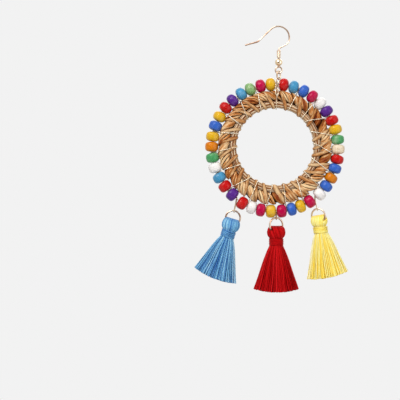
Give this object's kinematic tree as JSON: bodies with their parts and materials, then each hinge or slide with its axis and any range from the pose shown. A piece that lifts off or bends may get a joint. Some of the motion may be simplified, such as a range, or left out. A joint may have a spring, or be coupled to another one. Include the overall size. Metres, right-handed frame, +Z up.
{
  "type": "tassel earring",
  "caption": "Drop earring: bent wire ear hook and short chain carry a wound raffia ring edged with painted wooden beads, with thread tassels on jump rings below.",
  "frame": {"origin": "inner top of the ear hook's arc, where it hangs in the pierced ear", "axes": "+Z up, +X to the right of the ring's face as seen in the picture, +Y away from the viewer, through the ring"},
  "size_m": [0.0623, 0.0094, 0.1068],
  "materials": {
    "ear_wire": "polished pale rose-gold plating",
    "hook_coil": "polished pale rose-gold plating, finely wound",
    "hook_ball": "polished pale rose-gold plating",
    "top_link": "polished pale gold plating",
    "top_chain": "polished pale gold plating",
    "straw_band": "natural straw, satin",
    "raffia_roll": "dyed raffia, satin",
    "raffia_straps": "dyed raffia, satin",
    "bead_wire": "thin plated wire",
    "wire_lashings": "thin twisted plated wire",
    "paint_red": "glossy paint on turned wood",
    "paint_sky": "glossy paint on turned wood",
    "paint_blue": "glossy paint on turned wood",
    "paint_pink": "glossy paint on turned wood",
    "paint_white": "glossy paint on turned wood",
    "paint_purple": "glossy paint on turned wood",
    "paint_yellow": "glossy paint on turned wood",
    "paint_green": "glossy paint on turned wood",
    "paint_cream": "bare turned wood, waxed",
    "paint_orange": "glossy paint on turned wood",
    "paint_lime": "glossy paint on turned wood",
    "blue_connector": "polished pale gold plating",
    "blue_ring": "polished pale gold plating",
    "blue_tassel": "silky thread, soft sheen",
    "blue_binding": "wound silky thread",
    "red_connector": "polished pale gold plating",
    "red_ring": "polished pale gold plating",
    "red_tassel": "silky thread, soft sheen",
    "red_binding": "wound silky thread",
    "yellow_connector": "polished pale gold plating",
    "yellow_ring": "polished pale gold plating",
    "yellow_tassel": "silky thread, soft sheen",
    "yellow_binding": "wound silky thread"
  },
  "bodies": {
    "hook": {"ear_wire": "ear_wire", "hook_coil": "hook_coil", "hook_ball": "hook_ball"},
    "link": {"top_link": "top_link"},
    "drop": {"top_chain": "top_chain", "straw_band": "straw_band", "raffia_roll": "raffia_roll", "raffia_straps": "raffia_straps", "bead_wire": "bead_wire", "wire_lashings": "wire_lashings", "bead_01": "paint_red", "bead_02": "paint_sky", "bead_03": "paint_blue", "bead_04": "paint_pink", "bead_05": "paint_white", "bead_06": "paint_purple", "bead_07": "paint_red", "bead_08": "paint_yellow", "bead_09": "paint_green", "bead_10": "paint_cream", "bead_11": "paint_red", "bead_12": "paint_blue", "bead_13": "paint_orange", "bead_14": "paint_blue", "bead_15": "paint_white", "bead_16": "paint_pink", "bead_17": "paint_yellow", "bead_18": "paint_blue", "bead_19": "paint_pink", "bead_20": "paint_yellow", "bead_21": "paint_pink", "bead_22": "paint_white", "bead_23": "paint_red", "bead_24": "paint_purple", "bead_25": "paint_red", "bead_26": "paint_sky", "bead_27": "paint_white", "bead_28": "paint_green", "bead_29": "paint_orange", "bead_30": "paint_yellow", "bead_31": "paint_blue", "bead_32": "paint_yellow", "bead_33": "paint_red", "bead_34": "paint_purple", "bead_35": "paint_sky", "bead_36": "paint_lime", "bead_37": "paint_pink", "bead_38": "paint_yellow", "blue_connector": "blue_connector", "blue_ring": "blue_ring", "blue_tassel": "blue_tassel", "blue_binding": "blue_binding", "red_connector": "red_connector", "red_ring": "red_ring", "red_tassel": "red_tassel", "red_binding": "red_binding", "yellow_connector": "yellow_connector", "yellow_ring": "yellow_ring", "yellow_tassel": "yellow_tassel", "yellow_binding": "yellow_binding"}
  },
  "joints": [
    {"name": "link_swing", "type": "hinge", "parent": "hook", "child": "link", "pos_m": [0.00018, 0, -0.01845], "axis": [1, 0, 0], "range_deg": [-25, 25]},
    {"name": "drop_swing", "type": "hinge", "parent": "link", "child": "drop", "pos_m": [0.00018, 0, -0.02083], "axis": [0.5878, 0.809, 0], "range_deg": [-40, 40]}
  ]
}
